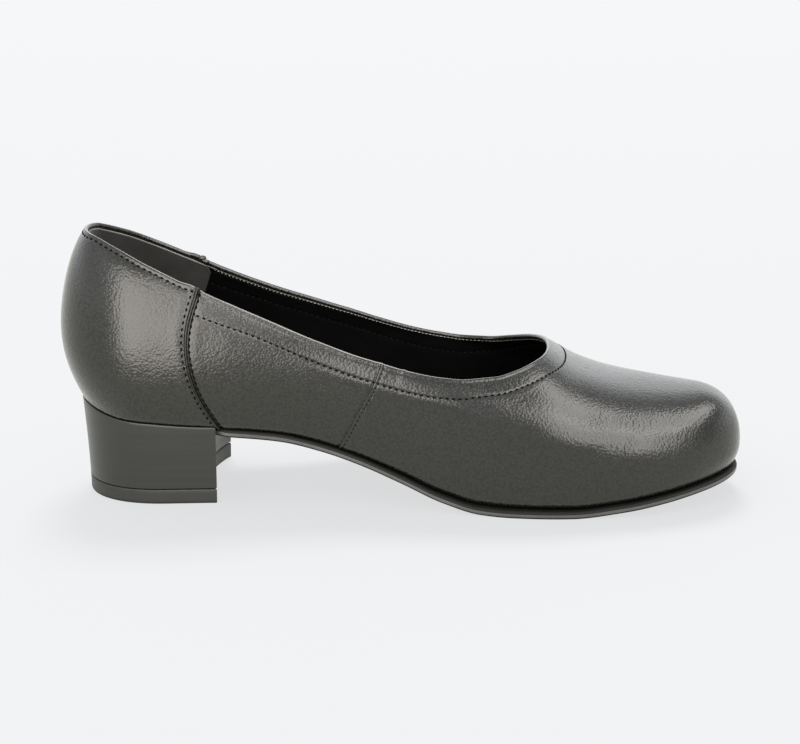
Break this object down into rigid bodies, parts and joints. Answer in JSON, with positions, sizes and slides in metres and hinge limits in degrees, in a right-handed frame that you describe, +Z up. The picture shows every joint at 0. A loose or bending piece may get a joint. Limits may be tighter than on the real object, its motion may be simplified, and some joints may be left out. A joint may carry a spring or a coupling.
{
  "type": "court shoe",
  "caption": "Women's wide fit court shoe for the left foot: smooth leather upper, round toe, thin sole and a low block heel with a rubber top piece.",
  "frame": {"origin": "on the floor under the middle of the shoe's plan", "axes": "+X towards the toe, +Y towards the outer side of the foot, +Z up"},
  "size_m": [0.252, 0.0908, 0.0995],
  "materials": {
    "upper": "satin",
    "insole": "matte",
    "outsole": "matte",
    "heel_block": "satin",
    "top_piece": "matte"
  },
  "bodies": {
    "root": {"upper": "upper", "insole": "insole", "outsole": "outsole", "heel_block": "heel_block", "top_piece": "top_piece"}
  },
  "joints": []
}
